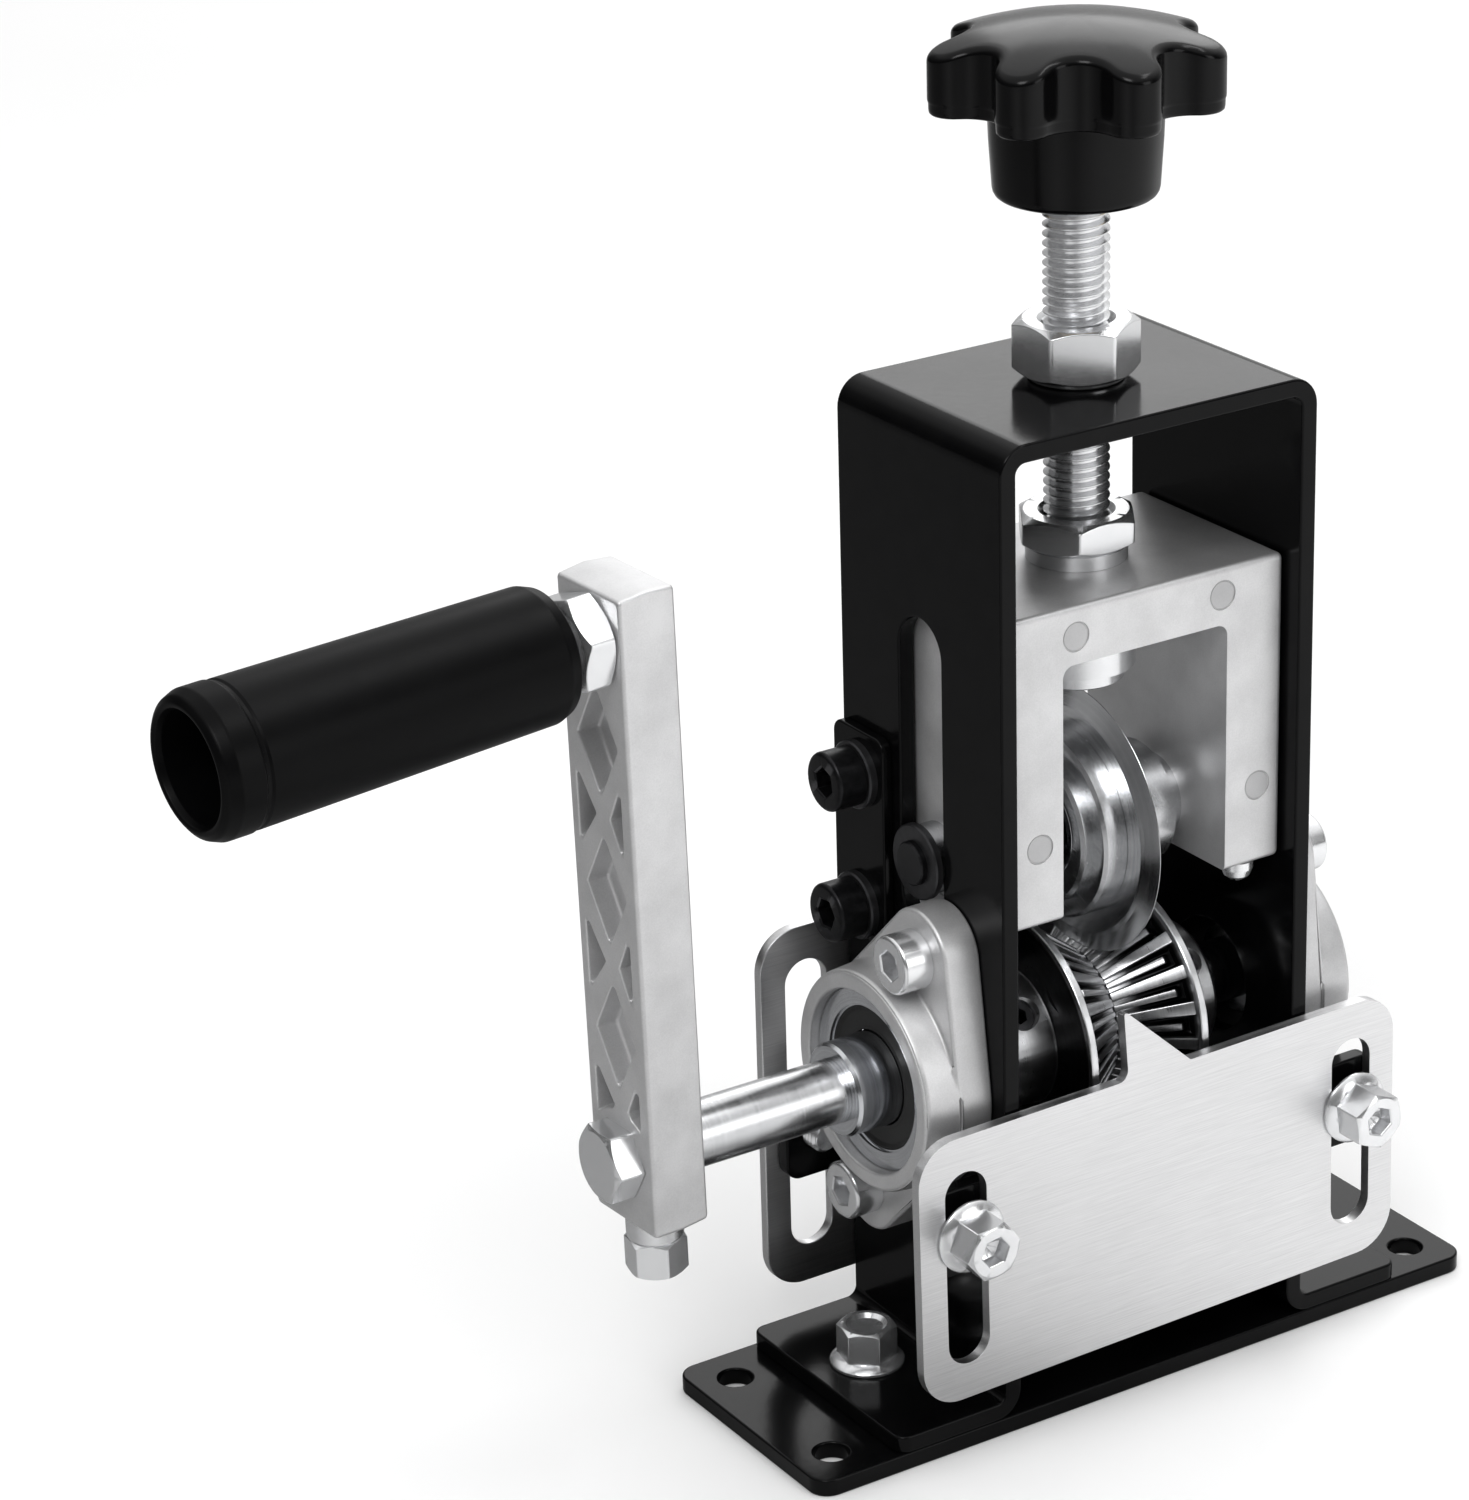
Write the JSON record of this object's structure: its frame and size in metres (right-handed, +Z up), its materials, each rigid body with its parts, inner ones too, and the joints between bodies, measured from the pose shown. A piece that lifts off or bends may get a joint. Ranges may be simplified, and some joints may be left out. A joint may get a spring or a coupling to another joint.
{
  "type": "hand crank wire stripper",
  "caption": "Bench wire stripper: a crank turns a pair of toothed V feed wheels under a round cutting blade, pressed down by a screw with a star knob in a bent steel frame.",
  "frame": {"origin": "centre of the base plate's underside", "axes": "+Z up, +X along the drive shaft away from the crank, +Y to the back, where the stripped wire leaves"},
  "size_m": [0.2562, 0.071, 0.255],
  "materials": {
    "black_enamel": "gloss black enamel",
    "black_oxide": "black oxide",
    "zinc": "bright zinc plate",
    "brushed_plate": "brushed stainless",
    "ground_steel": "ground and turned",
    "wheel_steel": "machined, dark in the grooves",
    "blade_steel": "ground",
    "bearing_steel": "polished",
    "cast_alloy": "satin die casting",
    "seal": "matt",
    "knob_plastic": "semi-gloss black",
    "grip_plastic": "satin black",
    "insert_brass": "plain"
  },
  "bodies": {
    "frame": {"base_plate": "black_enamel", "u_frame": "black_enamel", "foot_bolts": "zinc", "top_nut": "zinc", "left_bearing_housing": "cast_alloy", "right_bearing_housing": "cast_alloy", "left_bearing_outer_ring": "bearing_steel", "right_bearing_outer_ring": "bearing_steel", "left_bearing_balls": "bearing_steel", "right_bearing_balls": "bearing_steel", "left_bearing_seals": "seal", "right_bearing_seals": "seal", "bearing_cap_screws": "zinc", "side_plates": "black_enamel", "side_plate_washers": "zinc", "side_plate_screws": "black_oxide", "front_plate_bolts": "zinc", "back_plate_bolts": "zinc"},
    "front_plate": {"front_guide_plate": "brushed_plate"},
    "back_plate": {"back_guide_plate": "brushed_plate"},
    "drive": {"drive_shaft": "ground_steel", "left_feed_wheel": "wheel_steel", "right_feed_wheel": "wheel_steel", "wheel_set_screws": "black_oxide", "left_bearing_inner_ring": "bearing_steel", "right_bearing_inner_ring": "bearing_steel", "bearing_set_screws": "black_oxide", "crank_arm": "cast_alloy", "crank_end_bolt": "zinc", "crank_clamp_bolt": "zinc", "handle_bolt": "zinc", "handle_washer": "zinc", "handle_nut": "zinc"},
    "grip": {"handle_grip": "grip_plastic"},
    "block": {"pressure_block": "cast_alloy", "block_screws": "zinc", "blade_axle": "black_oxide", "slot_bushes": "ground_steel", "axle_end_discs": "black_oxide", "axle_spacers": "ground_steel", "blade_bearing_inner_rings": "bearing_steel"},
    "knob_screw": {"star_knob": "knob_plastic", "knob_insert": "insert_brass", "pressure_screw": "zinc", "jam_nut": "zinc", "thrust_collar": "zinc", "retaining_collar": "zinc", "retaining_ring": "zinc"},
    "blade": {"blade_ring": "blade_steel", "blade_hub": "ground_steel", "blade_clamp_ring": "ground_steel", "blade_bearing_outer_rings": "bearing_steel", "blade_bearing_balls": "bearing_steel"}
  },
  "joints": [
    {"name": "crank_spin", "type": "hinge", "parent": "frame", "child": "drive", "pos_m": [0, 0, 0.0661], "axis": [1, 0, 0], "continuous": true},
    {"name": "grip_spin", "type": "hinge", "parent": "drive", "child": "grip", "pos_m": [-0.09627, -0.00203, 0.16588], "axis": [0.9967, 0.0742, 0.0342], "continuous": true},
    {"name": "block_slide", "type": "slide", "parent": "frame", "child": "block", "axis": [0, 0, 1], "range_m": [0, 0.0189]},
    {"name": "knob_turn", "type": "hinge", "parent": "block", "child": "knob_screw", "pos_m": [0, 0, 0.2], "axis": [0, 0, 1], "range_deg": [0, 3900]},
    {"name": "blade_spin", "type": "hinge", "parent": "block", "child": "blade", "pos_m": [0, 0, 0.1063], "axis": [1, 0, 0], "continuous": true},
    {"name": "front_plate_slide", "type": "slide", "parent": "frame", "child": "front_plate", "axis": [0, 0, 1], "range_m": [-0.0085, 0.0175]},
    {"name": "back_plate_slide", "type": "slide", "parent": "frame", "child": "back_plate", "axis": [0, 0, 1], "range_m": [-0.012, 0.012]}
  ],
  "couplings": [
    {"joint": "knob_turn", "follows": "block_slide", "rad_per_m": 3590.4}
  ]
}
